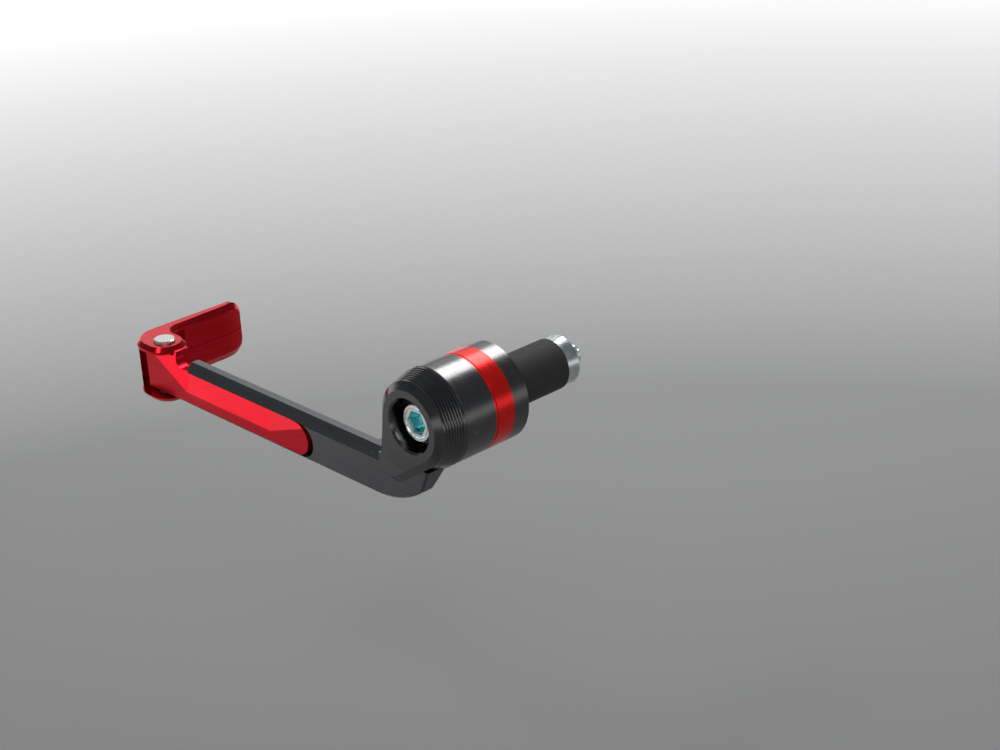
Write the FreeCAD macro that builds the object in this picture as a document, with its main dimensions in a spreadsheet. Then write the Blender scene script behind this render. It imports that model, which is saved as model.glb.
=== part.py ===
import FreeCAD, Part
import math
import os
import Sketcher

# Lever guard: billet arm on a bar-end stack, sliding extension and folding tip.
# Millimetres. X runs inboard along the handlebar, Y forward, Z up.
# The origin is on the bar axis, in the plane where the inner collar meets the handlebar end.

os.makedirs("parts", exist_ok=True)
doc = FreeCAD.newDocument("lever_guard")
sheet = doc.addObject("Spreadsheet::Sheet", "dims")
rowCount = [0]


def cell(alias, content):
    rowCount[0] += 1
    row = str(rowCount[0])
    sheet.set("A" + row, alias)
    sheet.set("B" + row, content)
    sheet.setAlias("B" + row, alias)


# Bar-end stack
cell("sleeve_radius", "16")
cell("collar_length", "6.4")
cell("ring_length", "7.6")
cell("sleeve_length", "12")
cell("edge_break", "0.35")
cell("spigot_radius", "9")
cell("spigot_clear", "0.1")
cell("spigot_bite", "3")
cell("shank_clear", "0.3")
cell("nose_radius", "8.5")
cell("nose_length", "3")
cell("ring_start", "=-collar_length")
cell("sleeve_start", "=-collar_length - ring_length")
cell("hub_back", "=sleeve_start - sleeve_length")
cell("spigot_bore", "=spigot_radius + spigot_clear")
cell("spigot_end", "=ring_start + spigot_bite")
cell("spigot_floor", "=spigot_end + spigot_clear")
cell("sleeve_break", "=sleeve_radius - edge_break")
cell("sleeve_back_break", "=hub_back + edge_break")
cell("collar_break", "=0 - edge_break")
cell("ring_groove_radius", "=sleeve_radius - 0.4")
cell("ring_groove_start", "=sleeve_start + 0.5")
cell("ring_groove_end", "=sleeve_start + 0.9")

# Hub and its bolt
cell("arm_thick", "7.5")
cell("face_rise", "1.9")
cell("face_radius", "11.6")
cell("bevel_radius", "14.05")
cell("corner_y", "9.75")
cell("corner_z", "-15.55")
cell("face_corner", "4.1")
cell("bore_radius", "8.55")
cell("bore_rim", "0.6")
cell("boss_radius", "11")
cell("boss_clear", "0.1")
cell("boss_floor", "2.8")
cell("head_radius", "6.5")
cell("head_height", "8")
cell("head_sink", "3.2")
cell("head_break", "0.7")
cell("shank_radius", "4")
cell("shank_length", "60")
cell("washer_radius", "8.2")
cell("washer_thick", "1")
cell("socket_flats", "6")
cell("socket_depth", "4")
cell("groove_depth", "0.42")
cell("groove_pitch", "0.92")
cell("groove_first", "0.85")
cell("arm_face", "=hub_back - arm_thick")
cell("hub_face", "=arm_face - face_rise")
cell("bevel_corner", "=face_corner + bevel_radius - face_radius")
cell("back_corner", "=face_corner + sleeve_radius - face_radius")
cell("head_face", "=hub_face + head_sink")
cell("head_seat", "=head_face + head_height")
cell("bore_floor", "=head_seat + washer_thick")
cell("boss_end", "=bore_floor + boss_floor")
cell("boss_length", "=boss_end - hub_back")
cell("boss_bore", "=boss_radius + boss_clear")
cell("boss_pocket", "=boss_end + boss_clear")
cell("bolt_hole", "=shank_radius + shank_clear")
cell("bore_mouth", "=bore_radius + bore_rim")
cell("bore_mouth_end", "=hub_face + bore_rim")
cell("mouth_out", "=hub_face - 1")
cell("boss_out", "=boss_end + 1")
cell("axis", "0")
cell("groove_sweep", "236")
cell("cone_slope", "=(sleeve_radius - bevel_radius) / arm_thick")
for number in range(7):
    tail = "_" + "abcdefg"[number]
    cell("groove_run" + tail, "=groove_first + groove_pitch * " + str(number))
    cell("groove_middle" + tail, "=arm_face + groove_run" + tail)
    cell("groove_left" + tail, "=groove_middle" + tail + " - groove_depth")
    cell("groove_right" + tail, "=groove_middle" + tail + " + groove_depth")
    cell("groove_root" + tail, "=bevel_radius + cone_slope * groove_run" + tail + " - groove_depth")
    cell("groove_lip" + tail, "=groove_root" + tail + " + groove_depth * 1.4")
cell("bolt_end", "=head_seat + shank_length")
cell("bolt_end_break", "=bolt_end - 1")
cell("bolt_tip_radius", "=shank_radius - 0.8")
cell("head_break_x", "=head_face + head_break")
cell("head_break_radius", "=head_radius - head_break")
cell("hex_across", "=socket_flats / sqrt(3)")
cell("hex_half", "=hex_across / 2")
cell("hex_flat", "=socket_flats / 2")
cell("hex_across_low", "=-hex_across")
cell("hex_half_low", "=-hex_half")
cell("hex_flat_low", "=-hex_flat")

# Expander that holds the stack in the handlebar
cell("expander_radius", "8.5")
cell("expander_length", "22")
cell("nut_small", "5.6")
cell("nut_length", "12")
cell("nut_bite", "7")
cell("expander_end", "=nose_length + expander_length")
cell("nut_start", "=expander_end - nut_bite")
cell("nut_end", "=nut_start + nut_length")
cell("nut_slope", "=(expander_radius - 0.3 - nut_small) / nut_length")
cell("nut_large", "=expander_radius - 0.3")
cell("mouth_radius", "=nut_small + nut_slope * nut_bite")
cell("nut_bore", "=shank_radius")

# Arm bar
cell("rail_front", "119.4")
cell("rail_nose", "1.8")
cell("lip_reach", "5.8")
cell("lip_thick", "0.7")
cell("rail_top", "-14.7")
cell("bar_bottom", "-29.8")
cell("neck_top_y", "6")
cell("neck_back_y", "-5.2")
cell("neck_back_z", "-14.9")
cell("elbow_back_y", "-1.8")
cell("elbow_front_y", "20")
cell("elbow_radius", "36")
cell("rail_bevel", "3.1")
cell("rail_bevel_start", "17.6")
cell("inner_bevel", "1.7")
cell("heel_chamfer", "3.2")
cell("edge_chamfer", "0.6")
cell("elbow_centre_z", "=bar_bottom + elbow_radius")
cell("lip_front", "=rail_front + lip_reach")
cell("inner_bevel_start", "24")
cell("bevel_outside", "=arm_face - 1")
cell("bevel_foot", "=rail_top - rail_bevel - 1")
cell("bevel_inside", "=arm_face + rail_bevel + 1")
cell("bevel_lip", "=rail_top + 1")
cell("inner_outside", "=hub_back + 1")
cell("inner_foot", "=rail_top - inner_bevel - 1")
cell("inner_inside", "=hub_back - inner_bevel - 1")
cell("inner_lip", "=rail_top + 1")

# Extension slider and its pocket
cell("slide_clear", "0.6")
cell("low_clear", "0.1")
cell("back_clear", "0.05")
cell("slider_thick", "5")
cell("slider_top", "-18.2")
cell("nose_gap", "2.7")
cell("slider_nose_y", "53.4")
cell("pocket_low", "=bar_bottom + lip_thick")
cell("slider_low", "=pocket_low + low_clear")
cell("slider_radius", "=(slider_top - slider_low) / 2")
cell("slider_mid", "=(slider_top + slider_low) / 2")
cell("slider_round_y", "=slider_nose_y + slider_radius")
cell("pocket_top", "=slider_top + slide_clear")
cell("pocket_radius", "=(pocket_top - pocket_low) / 2")
cell("pocket_mid", "=(pocket_top + pocket_low) / 2")
cell("pocket_round_y", "=slider_nose_y - nose_gap + pocket_radius")
cell("pocket_front", "=lip_front + 2")
cell("pocket_depth", "=slider_thick + back_clear")
cell("slider_back", "=arm_face + slider_thick")
cell("low_outside", "=arm_face - 0.5")
cell("low_lip", "=bar_bottom + edge_chamfer + 0.5")
cell("low_under", "=bar_bottom - 0.5")
cell("low_inside", "=arm_face + edge_chamfer + 0.5")

# Bevel along the slider's outer face
cell("bevel_slope", "0.28")
cell("bevel_low", "-25.3")
cell("bevel_tail_y", "56.8")
cell("bevel_tail_z", "-19.4")
cell("bevel_back_y", "73.4")
cell("bevel_front_run", "7.4")
cell("bevel_head_run", "7.2")
cell("bevel_front_y", "=block_back_y - bevel_front_run")
cell("bevel_head_y", "=block_back_y + bevel_head_run")
cell("bevel_head_z", "-17.6")
cell("bevel_drop", "8")
cell("bevel_margin", "16")
cell("bevel_over", "3")
cell("bevel_base", "=bevel_low - bevel_drop")
cell("bevel_edge_x", "=arm_face - bevel_slope * bevel_drop")
cell("tail_far_y", "=bevel_tail_y - bevel_margin")
cell("head_far_y", "=bevel_head_y + bevel_margin")
cell("tail_rise", "=(bevel_tail_z - bevel_low) / (bevel_back_y - bevel_tail_y)")
cell("head_rise", "=(bevel_head_z - bevel_low) / (bevel_head_y - bevel_front_y)")
cell("tail_far_x", "=bevel_edge_x - bevel_slope * tail_rise * (bevel_back_y - tail_far_y)")
cell("head_far_x", "=bevel_edge_x - bevel_slope * head_rise * (head_far_y - bevel_front_y)")
cell("bevel_clear_x", "=min(tail_far_x; head_far_x) - 5")

# Front block of the slider, with the tongue that carries the tip
cell("block_gap", "0.2")
cell("block_back_y", "=lip_front + travel_in + block_gap")
cell("block_top", "-12.9")
cell("pin_setback", "8.7")
cell("tongue_reach", "6.7")
cell("step_radius", "3.8")
cell("pin_x", "=(arm_face + hub_back) / 2")
cell("pin_y", "=block_back_y + pin_setback")
cell("tongue_end_y", "=pin_y + tongue_reach")
cell("pin_radius", "2")
cell("pin_clear", "0.05")
cell("pin_bore", "=pin_radius + pin_clear")
cell("ear_radius", "7.4")
cell("ear_clear", "0.35")
cell("scoop_radius", "=ear_radius + ear_clear")
cell("washer_gap", "0.6")
cell("shim_thick", "0.5")
cell("shim_radius", "3.6")
cell("tongue_top", "-14.5")
cell("block_height", "=block_top - bar_bottom")
cell("block_mid_y", "=(block_back_y + tongue_end_y) / 2")

# Clamp screws of the slider
cell("screw_first_y", "70")
cell("screw_pitch", "23")
cell("screw_z", "-21.9")
cell("screw_radius", "2")
cell("screw_bite", "2.6")
cell("screw_head_radius", "3.8")
cell("screw_head_height", "2.2")
cell("screw_socket", "2.5")
cell("clamp_washer_radius", "4.1")
cell("clamp_washer_thick", "0.8")
cell("slot_clear", "0.25")
cell("travel_in", "2")
cell("travel_out", "14")
cell("screw_second_y", "=screw_first_y + screw_pitch")
cell("slot_half", "=screw_radius + slot_clear")
cell("slot_start", "=screw_first_y - travel_in")
cell("slot_end", "=screw_first_y + travel_out")
cell("slot_start_2", "=slot_start + screw_pitch")
cell("slot_end_2", "=slot_end + screw_pitch")
cell("slot_above", "=screw_z + slot_half")
cell("slot_below", "=screw_z - slot_half")
cell("washer_face", "=hub_back + clamp_washer_thick")
cell("screw_top", "=washer_face + screw_head_height")
cell("screw_end", "=slider_back - screw_bite")
cell("screw_rim", "=washer_face + screw_head_height * 0.4")
cell("screw_crown", "=screw_head_radius * 0.72")
cell("screw_recess", "=screw_socket / 2")
cell("screw_floor", "=screw_top - screw_head_height * 0.6")

# Folding tip
cell("tip_top", "-11.6")
cell("tip_low", "-32.2")
cell("tip_reach", "13.9")
cell("tip_front_y", "=pin_y + tip_reach")
cell("tip_corner", "11")
cell("web_thick", "3")
cell("blade_thick", "5.9")
cell("blade_rear_y", "=tip_front_y - blade_thick")
cell("blade_end_x", "11.5")
cell("blade_bend_x", "0")
cell("bend_run", "0.5")
cell("blade_curve", "27.7")
cell("blade_bend_y", "=blade_rear_y + bend_run")
cell("blade_curve_y", "=blade_bend_y + blade_curve")
cell("blade_knee_x", "9.5")
cell("blade_knee_y", "=blade_curve_y - sqrt(blade_curve * blade_curve - blade_knee_x * blade_knee_x)")
cell("blade_lean", "=blade_knee_x / (blade_curve_y - blade_knee_y)")
cell("blade_end_y", "=blade_knee_y + (blade_end_x - blade_knee_x) * blade_lean")
cell("root_fillet", "4.5")
cell("tip_bevel", "1.4")
cell("slot_mouth_x", "-15.5")
cell("slot_bottom_x", "-20.5")
cell("end_round", "5.5")
cell("slot_top", "=tongue_top + washer_gap")
cell("slot_low", "=bar_bottom - washer_gap")
cell("slot_height", "=slot_top - slot_low")
cell("tip_height", "=tip_top - tip_low")
cell("tip_outer_x", "=pin_x - ear_radius")
cell("tip_inner_x", "=pin_x + ear_radius")
cell("tip_corner_x", "=tip_outer_x + tip_corner")
cell("tip_corner_y", "=tip_front_y - tip_corner")
cell("web_inner_y", "=tip_front_y - web_thick")
cell("slot_out_x", "=tip_outer_x - 5")
cell("slot_rear_y", "=pin_y - ear_radius - 5")
cell("end_round_x", "=blade_end_x - end_round")
cell("end_round_top", "=tip_top - end_round")
cell("end_round_low", "=tip_low + end_round")
cell("end_over", "=tip_top + 1")
cell("end_under", "=tip_low - 1")
cell("end_beyond", "=blade_end_x + 1")

# Pivot pin and its clip
cell("pin_head_radius", "3.8")
cell("pin_head_thick", "1")
cell("clip_radius", "3.9")
cell("clip_thick", "0.7")
cell("clip_groove", "1.6")
cell("pin_tail", "0.9")
cell("pin_head_top", "=tip_top + pin_head_thick")
cell("pin_break_z", "=pin_head_top - 0.3")
cell("pin_break_radius", "=pin_head_radius - 0.4")
cell("clip_top", "=tip_low")
cell("clip_bottom", "=clip_top - clip_thick")
cell("pin_end", "=clip_bottom - pin_tail")
cell("mouth_half", "1.35")
cell("mouth_left", "=-mouth_half")
cell("mouth_right", "=mouth_half")
cell("mouth_near", "=0 - clip_radius - 1")
cell("mouth_far", "=0 - clip_groove / 4")
cell("shim_upper", "=tongue_top + shim_thick")
cell("shim_lower", "=bar_bottom - shim_thick")

doc.recompute()


def size(alias):
    return float(sheet.get(alias))


def startBody(label):
    body = doc.addObject("PartDesign::Body", label)
    body.Label = label
    body.AllowCompound = True
    return body


def startSketch(body, name, role, offset=None):
    sketch = body.newObject("Sketcher::SketchObject", name)
    plane = [f for f in body.Origin.OriginFeatures if f.Role == role][0]
    sketch.AttachmentSupport = [(plane, "")]
    sketch.MapMode = "FlatFace"
    if offset:
        sketch.setExpression("AttachmentOffset.Base.z", offset)
    doc.recompute()
    return sketch


def bindValue(sketch, kind, geo, pos, alias):
    # A coordinate of zero is held on the axis, any other by a distance read from the sheet.
    value = size(alias)
    if abs(value) < 1e-9:
        axis = -2 if kind == "DistanceX" else -1
        sketch.addConstraint(Sketcher.Constraint("PointOnObject", geo, pos, axis))
        return
    index = sketch.addConstraint(Sketcher.Constraint(kind, -1, 1, geo, pos, value))
    sketch.setExpression("Constraints[" + str(index) + "]", "dims." + alias)


def outline(sketch, corners, arcs=None):
    # Closed outline through the corners; arcs maps a side's number to its centre and turning sense.
    arcs = arcs or {}
    points = []
    for across, along in corners:
        points.append(FreeCAD.Vector(size(across.strip("~")), size(along.strip("~")), 0))
    count = len(points)
    ends = []
    for side in range(count):
        first = points[side]
        second = points[(side + 1) % count]
        if side in arcs:
            centreX, centreY, turnLeft = arcs[side]
            centre = FreeCAD.Vector(size(centreX), size(centreY), 0)
            begin, finish = (first, second) if turnLeft else (second, first)
            angleA = math.atan2(begin.y - centre.y, begin.x - centre.x)
            angleB = math.atan2(finish.y - centre.y, finish.x - centre.x)
            if angleB <= angleA:
                angleB += 2 * math.pi
            circle = Part.Circle(centre, FreeCAD.Vector(0, 0, 1), (begin - centre).Length)
            geo = sketch.addGeometry(Part.ArcOfCircle(circle, angleA, angleB), False)
            ends.append((geo, 1, 2) if turnLeft else (geo, 2, 1))
        else:
            geo = sketch.addGeometry(Part.LineSegment(first, second), False)
            ends.append((geo, 1, 2))
    for side in range(count):
        geo, _, finish = ends[side]
        nextGeo, nextStart, _ = ends[(side + 1) % count]
        sketch.addConstraint(Sketcher.Constraint("Coincident", geo, finish, nextGeo, nextStart))
    for side, (across, along) in enumerate(corners):
        geo, start, _ = ends[side]
        if not across.startswith("~"):
            bindValue(sketch, "DistanceX", geo, start, across)
        if not along.startswith("~"):
            bindValue(sketch, "DistanceY", geo, start, along)
    for side, (centreX, centreY, _) in arcs.items():
        geo = ends[side][0]
        bindValue(sketch, "DistanceX", geo, 3, centreX)
        bindValue(sketch, "DistanceY", geo, 3, centreY)
    return sketch


def ring(sketch, centreX, centreY, radius):
    centre = FreeCAD.Vector(size(centreX) if centreX else 0, size(centreY) if centreY else 0, 0)
    circle = Part.Circle(centre, FreeCAD.Vector(0, 0, 1), size(radius))
    geo = sketch.addGeometry(circle, False)
    if centreX:
        bindValue(sketch, "DistanceX", geo, 3, centreX)
        bindValue(sketch, "DistanceY", geo, 3, centreY)
    else:
        sketch.addConstraint(Sketcher.Constraint("Coincident", geo, 3, -1, 1))
    index = sketch.addConstraint(Sketcher.Constraint("Radius", geo, size(radius)))
    sketch.setExpression("Constraints[" + str(index) + "]", "dims." + radius)
    return sketch


def teardrop(sketch, radius, corner):
    # Hull of the hub circle and a smaller circle towards the bar, both tangent to two lines.
    big = size(radius)
    small = size(corner)
    far = FreeCAD.Vector(size("corner_y"), size("corner_z"), 0)
    toward = math.atan2(far.y, far.x)
    spread = math.acos((big - small) / far.Length)
    up = FreeCAD.Vector(0, 0, 1)
    left = toward + spread
    right = toward - spread
    hubArc = sketch.addGeometry(Part.ArcOfCircle(Part.Circle(FreeCAD.Vector(), up, big), left,
                                                 right + 2 * math.pi), False)
    lowArc = sketch.addGeometry(Part.ArcOfCircle(Part.Circle(far, up, small), right, left), False)
    leftWay = FreeCAD.Vector(math.cos(left), math.sin(left), 0)
    rightWay = FreeCAD.Vector(math.cos(right), math.sin(right), 0)
    rear = sketch.addGeometry(Part.LineSegment(rightWay * big, far + rightWay * small), False)
    front = sketch.addGeometry(Part.LineSegment(far + leftWay * small, leftWay * big), False)
    sketch.addConstraint(Sketcher.Constraint("Coincident", hubArc, 3, -1, 1))
    bindValue(sketch, "DistanceX", lowArc, 3, "corner_y")
    bindValue(sketch, "DistanceY", lowArc, 3, "corner_z")
    for geo, alias in ((hubArc, radius), (lowArc, corner)):
        index = sketch.addConstraint(Sketcher.Constraint("Radius", geo, size(alias)))
        sketch.setExpression("Constraints[" + str(index) + "]", "dims." + alias)
    for pair in ((hubArc, 2, rear, 1), (rear, 2, lowArc, 1), (lowArc, 2, front, 1), (front, 2, hubArc, 1)):
        sketch.addConstraint(Sketcher.Constraint("Tangent", *pair))
    return sketch


def pad(body, name, sketch, length, flip=False):
    feature = body.newObject("PartDesign::Pad", name)
    feature.Profile = sketch
    feature.Reversed = flip
    feature.setExpression("Length", length)
    doc.recompute()
    return feature


def pocket(body, name, sketch, length, flip=False):
    feature = body.newObject("PartDesign::Pocket", name)
    feature.Profile = sketch
    feature.Reversed = flip
    feature.setExpression("Length", length)
    doc.recompute()
    return feature


def turned(body, name, sketch, axis, cut=False):
    kind = "PartDesign::Groove" if cut else "PartDesign::Revolution"
    feature = body.newObject(kind, name)
    feature.Profile = sketch
    feature.ReferenceAxis = (sketch, [axis])
    feature.Angle = 360
    doc.recompute()
    return feature


def pick(feature, test):
    names = []
    for number, edge in enumerate(feature.Shape.Edges):
        middle = edge.valueAt((edge.FirstParameter + edge.LastParameter) / 2)
        if test(middle, edge):
            names.append("Edge" + str(number + 1))
    return names


def dress(body, name, kind, base, names, alias):
    feature = body.newObject("PartDesign::" + kind, name)
    feature.Base = (base, names)
    feature.setExpression("Radius" if kind == "Fillet" else "Size", "dims." + alias)
    doc.recompute()
    return feature


def near(value, alias, slack=0.02):
    return abs(value - size(alias)) < slack


# Billet arm: bar and elbow
arm = startBody("guard_arm")
barSketch = startSketch(arm, "bar_outline", "YZ_Plane", "dims.arm_face")
outline(barSketch,
        [("rail_front", "rail_top"), ("neck_top_y", "rail_top"), ("neck_back_y", "neck_back_z"),
         ("elbow_back_y", "~neck_back_z"), ("elbow_front_y", "bar_bottom"), ("lip_front", "bar_bottom"),
         ("lip_front", "slider_top"), ("rail_front", "slider_top")],
        {3: ("elbow_front_y", "elbow_centre_z", True)})
bar = pad(arm, "bar", barSketch, "dims.arm_thick")
heel = dress(arm, "heel_bevel", "Chamfer", bar,
             pick(bar, lambda p, e: near(p.x, "hub_back") and p.z < size("slider_mid")
                  and p.y < size("rail_front")), "heel_chamfer")
lowEdge = dress(arm, "low_edge", "Chamfer", heel,
                pick(heel, lambda p, e: near(p.x, "arm_face") and p.y < size("rail_front")
                     and (p.z < size("slider_mid") or p.y < size("elbow_back_y"))), "edge_chamfer")
railNose = dress(arm, "rail_nose", "Fillet", lowEdge,
                 pick(lowEdge, lambda p, e: near(p.x, "arm_face") and near(p.y, "rail_front")
                      and p.z > size("slider_top") + 0.1), "rail_nose")

# Hub: three teardrop sections, widening inboard
sections = []
for name, place, radius, corner in (("hub_back_section", "dims.hub_back", "sleeve_radius", "back_corner"),
                                    ("hub_bevel_section", "dims.arm_face", "bevel_radius", "bevel_corner"),
                                    ("hub_face_section", "dims.hub_face", "face_radius", "face_corner")):
    sections.append(teardrop(startSketch(arm, name, "YZ_Plane", place), radius, corner))
hub = arm.newObject("PartDesign::AdditiveLoft", "hub")
hub.Profile = sections[0]
hub.Sections = sections[1:]
hub.Ruled = True
doc.recompute()
boss = pad(arm, "boss", ring(startSketch(arm, "boss_circle", "YZ_Plane", "dims.hub_back"), None, None,
                             "boss_radius"), "dims.boss_length")

# Rail bevels, cut along the bar
railSketch = startSketch(arm, "rail_bevel_profile", "XZ_Plane", "-dims.rail_bevel_start")
outline(railSketch, [("bevel_outside", "bevel_foot"), ("bevel_inside", "bevel_lip"),
                     ("bevel_outside", "bevel_lip")])
railBevel = pocket(arm, "rail_bevel", railSketch, "dims.rail_front", False)
innerSketch = startSketch(arm, "inner_bevel_profile", "XZ_Plane", "-dims.inner_bevel_start")
outline(innerSketch, [("inner_outside", "inner_foot"), ("inner_outside", "inner_lip"),
                      ("inner_inside", "inner_lip")])
innerBevel = pocket(arm, "inner_bevel", innerSketch, "dims.rail_front", False)

# Open pocket for the slider and the slots for its clamp screws
pocketSketch = startSketch(arm, "slider_pocket_outline", "YZ_Plane", "dims.arm_face")
outline(pocketSketch,
        [("pocket_round_y", "pocket_top"), ("pocket_round_y", "~pocket_low"), ("pocket_front", "pocket_low"),
         ("pocket_front", "pocket_top")],
        {0: ("pocket_round_y", "pocket_mid", True)})
sliderPocket = pocket(arm, "slider_pocket", pocketSketch, "dims.pocket_depth", True)
slotSketch = startSketch(arm, "screw_slots", "YZ_Plane", "dims.hub_back")
for begin, finish in (("slot_start", "slot_end"), ("slot_start_2", "slot_end_2")):
    outline(slotSketch,
            [(begin, "slot_above"), (begin, "~slot_below"), (finish, "slot_below"), (finish, "~slot_above")],
            {0: (begin, "screw_z", True), 2: (finish, "screw_z", True)})
slots = pocket(arm, "slots", slotSketch, "dims.arm_thick - dims.slider_thick")

# Bolt seat in the hub
boreSketch = startSketch(arm, "bore_profile", "XY_Plane")
outline(boreSketch,
        [("mouth_out", "axis"), ("mouth_out", "bore_mouth"), ("hub_face", "bore_mouth"),
         ("bore_mouth_end", "bore_radius"), ("bore_floor", "bore_radius"), ("bore_floor", "bolt_hole"),
         ("boss_out", "bolt_hole"), ("boss_out", "axis")])
bore = turned(arm, "bolt_seat", boreSketch, "H_Axis", True)

# Grip grooves around the open side of the hub's cone
grooveSketch = startSketch(arm, "groove_profile", "XY_Plane")
for tail in "abcdefg":
    outline(grooveSketch, [("groove_left_" + tail, "groove_lip_" + tail),
                           ("groove_middle_" + tail, "groove_root_" + tail),
                           ("groove_right_" + tail, "groove_lip_" + tail)])
grooves = arm.newObject("PartDesign::Groove", "grip_grooves")
grooves.Profile = grooveSketch
grooves.ReferenceAxis = (grooveSketch, ["H_Axis"])
grooves.setExpression("Angle", "dims.groove_sweep")
doc.recompute()

# Extension slider: flat bar with a round tail
slider = startBody("extension_slider")
sliderSketch = startSketch(slider, "slider_outline", "YZ_Plane", "dims.arm_face")
outline(sliderSketch,
        [("slider_round_y", "slider_top"), ("slider_round_y", "~slider_low"), ("block_mid_y", "slider_low"),
         ("block_mid_y", "slider_top")],
        {0: ("slider_round_y", "slider_mid", True)})
sliderBar = pad(slider, "slider_bar", sliderSketch, "dims.slider_thick")

# Front block, as thick as the arm, stepped up behind the tip's ear
blockSketch = startSketch(slider, "block_outline", "YZ_Plane", "dims.arm_face")
outline(blockSketch, [("block_back_y", "bar_bottom"), ("tongue_end_y", "bar_bottom"),
                      ("tongue_end_y", "block_top"), ("block_back_y", "block_top")])
block = pad(slider, "block", blockSketch, "dims.arm_thick")
step = dress(slider, "step_fillet", "Fillet", block,
             pick(block, lambda p, e: near(p.y, "block_back_y") and near(p.z, "slider_top")), "step_radius")

# Outer bevel: one cut along the slope, running out at the tail and at the tongue
bevelSketch = startSketch(slider, "bevel_plan", "XY_Plane", "dims.bevel_base")
outline(bevelSketch, [("tail_far_x", "tail_far_y"), ("bevel_clear_x", "tail_far_y"),
                      ("bevel_clear_x", "head_far_y"), ("head_far_x", "head_far_y"),
                      ("bevel_edge_x", "bevel_front_y"), ("bevel_edge_x", "bevel_back_y")])
outerBevel = slider.newObject("PartDesign::Pocket", "outer_bevel")
outerBevel.Profile = bevelSketch
outerBevel.UseCustomVector = True
outerBevel.setExpression("Direction.x", "dims.bevel_slope")
outerBevel.Direction = FreeCAD.Vector(size("bevel_slope"), 0, 1)
outerBevel.AlongSketchNormal = True
outerBevel.setExpression("Length", "dims.block_top - dims.bevel_base + dims.bevel_over")
doc.recompute()

# Scoop for the ear, pivot bore and blind holes for the clamp screws
scoopSketch = ring(startSketch(slider, "scoop_circle", "XY_Plane", "dims.tongue_top"), "pin_x", "pin_y",
                   "scoop_radius")
scoop = pocket(slider, "ear_scoop", scoopSketch, "dims.block_top - dims.tongue_top + 1", True)
pivotSketch = ring(startSketch(slider, "pivot_circle", "XY_Plane", "dims.bar_bottom"), "pin_x", "pin_y",
                   "pin_bore")
pivot = pocket(slider, "pivot_bore", pivotSketch, "dims.block_height", True)
holeSketch = startSketch(slider, "screw_circles", "YZ_Plane", "dims.slider_back")
ring(holeSketch, "screw_first_y", "screw_z", "screw_radius")
ring(holeSketch, "screw_second_y", "screw_z", "screw_radius")
holes = pocket(slider, "screw_holes", holeSketch, "dims.screw_bite + 0.3")
lowSketch = startSketch(slider, "low_edge_profile", "XZ_Plane", "-dims.slider_round_y - 1")
outline(lowSketch, [("low_outside", "low_lip"), ("low_outside", "low_under"), ("low_inside", "low_under")])
lowLine = pocket(slider, "slider_low_edge", lowSketch, "dims.tongue_end_y")

# Folding tip: plan outline of ear, web and blade
tip = startBody("folding_tip")
tipSketch = startSketch(tip, "tip_outline", "XY_Plane", "dims.tip_low")
outline(tipSketch,
        [("tip_outer_x", "pin_y"), ("~tip_inner_x", "pin_y"), ("tip_inner_x", "blade_rear_y"),
         ("blade_bend_x", "blade_bend_y"), ("blade_knee_x", "~blade_knee_y"), ("blade_end_x", "blade_end_y"),
         ("blade_end_x", "tip_front_y"), ("tip_corner_x", "tip_front_y"), ("~tip_outer_x", "tip_corner_y")],
        {0: ("pin_x", "pin_y", True), 3: ("blade_bend_x", "blade_curve_y", True),
         7: ("tip_corner_x", "tip_corner_y", True)})
tipBlock = pad(tip, "tip_block", tipSketch, "dims.tip_height")
root = dress(tip, "root_fillet", "Fillet", tipBlock,
             pick(tipBlock, lambda p, e: near(p.x, "tip_inner_x") and near(p.y, "blade_rear_y")),
             "root_fillet")


def rimEdge(point, edge, level):
    onLevel = near(point.z, level) and abs(edge.BoundBox.ZLength) < 0.01
    return onLevel and point.y < size("tip_front_y") - 0.05 and point.x < size("blade_end_x") - 0.05


topRim = dress(tip, "top_bevel", "Chamfer", root, pick(root, lambda p, e: rimEdge(p, e, "tip_top")),
               "tip_bevel")
lowRim = dress(tip, "low_bevel", "Chamfer", topRim, pick(topRim, lambda p, e: rimEdge(p, e, "tip_low")),
               "tip_bevel")
slotSketch2 = startSketch(tip, "clevis_slot", "XY_Plane", "dims.slot_low")
outline(slotSketch2, [("slot_out_x", "slot_rear_y"), ("slot_mouth_x", "slot_rear_y"),
                      ("slot_mouth_x", "blade_rear_y"), ("slot_bottom_x", "web_inner_y"),
                      ("slot_out_x", "web_inner_y")])
clevis = pocket(tip, "clevis", slotSketch2, "dims.slot_height", True)
earSketch = ring(startSketch(tip, "ear_circle", "XY_Plane", "dims.tip_low"), "pin_x", "pin_y", "pin_radius")
earBore = pocket(tip, "ear_bore", earSketch, "dims.tip_height", True)

# Rounded corners of the blade's free end
endSketch = startSketch(tip, "end_corners", "XZ_Plane", "-dims.tip_front_y - 1")
outline(endSketch, [("end_round_x", "tip_top"), ("end_round_x", "end_over"), ("end_beyond", "end_over"),
                    ("end_beyond", "end_round_top"), ("~blade_end_x", "end_round_top")],
        {4: ("end_round_x", "end_round_top", True)})
outline(endSketch, [("end_round_x", "tip_low"), ("~blade_end_x", "end_round_low"),
                    ("end_beyond", "end_round_low"), ("end_beyond", "end_under"),
                    ("end_round_x", "end_under")],
        {0: ("end_round_x", "end_round_low", True)})
endRound = pocket(tip, "end_round", endSketch, "dims.tip_front_y - dims.pin_y", True)

# Turned pieces: a half profile spun about the bar axis or about the pin's own axis


def spunOnBar(label, corners):
    body = startBody(label)
    sketch = outline(startSketch(body, label + "_profile", "XY_Plane"), corners)
    turned(body, label + "_turned", sketch, "H_Axis")
    return body


def spunOnPin(label, corners):
    body = startBody(label)
    body.setExpression("Placement.Base.x", "dims.pin_x")
    body.setExpression("Placement.Base.y", "dims.pin_y")
    sketch = outline(startSketch(body, label + "_profile", "XZ_Plane"), corners)
    turned(body, label + "_turned", sketch, "V_Axis")
    return body


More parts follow.
